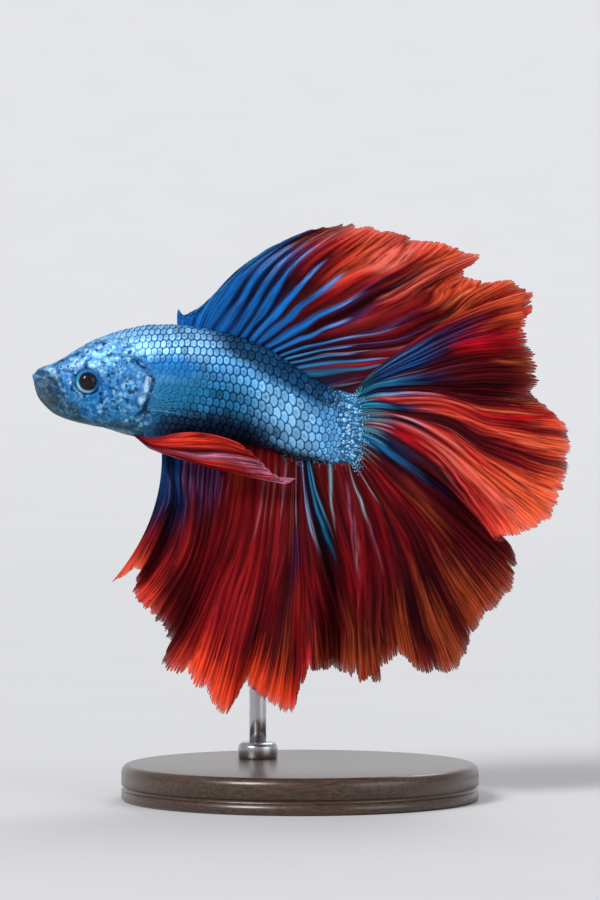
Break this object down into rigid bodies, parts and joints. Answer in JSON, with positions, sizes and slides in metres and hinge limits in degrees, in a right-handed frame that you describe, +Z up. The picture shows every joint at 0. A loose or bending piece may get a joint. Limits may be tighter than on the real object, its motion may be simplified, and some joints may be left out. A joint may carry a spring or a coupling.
{
  "type": "betta fish on a display stand",
  "caption": "Life-size halfmoon betta with spread flowing fins, held swimming by one rod on a round wooden base.",
  "frame": {"origin": "middle of the base's underside", "axes": "+Z up, the fish faces -X and its left side faces -Y"},
  "size_m": [0.0748, 0.05, 0.0808],
  "materials": {
    "scaled_skin": "metallic light-blue scales, each with a dark edge",
    "eye": "wet gloss, black pupil",
    "upper_fin": "thin membrane, blue rays fading to red and orange",
    "red_fin": "thin red membrane, orange fringed margin",
    "clear_fin": "nearly clear membrane",
    "dark_wood": "satin varnish",
    "steel": "satin"
  },
  "bodies": {
    "root": {"head": "scaled_skin", "lower_jaw": "scaled_skin", "gill_cover_left": "scaled_skin", "gill_cover_right": "scaled_skin", "trunk": "scaled_skin", "tail_stem": "scaled_skin", "eye_left": "eye", "eye_right": "eye", "dorsal_fin": "upper_fin", "anal_fin": "red_fin", "caudal_fin": "red_fin", "pelvic_fin_left": "red_fin", "pelvic_fin_right": "red_fin", "pectoral_fin_left": "clear_fin", "pectoral_fin_right": "clear_fin", "stand_base": "dark_wood", "stand_rod": "steel", "stand_collar": "steel"}
  },
  "joints": []
}
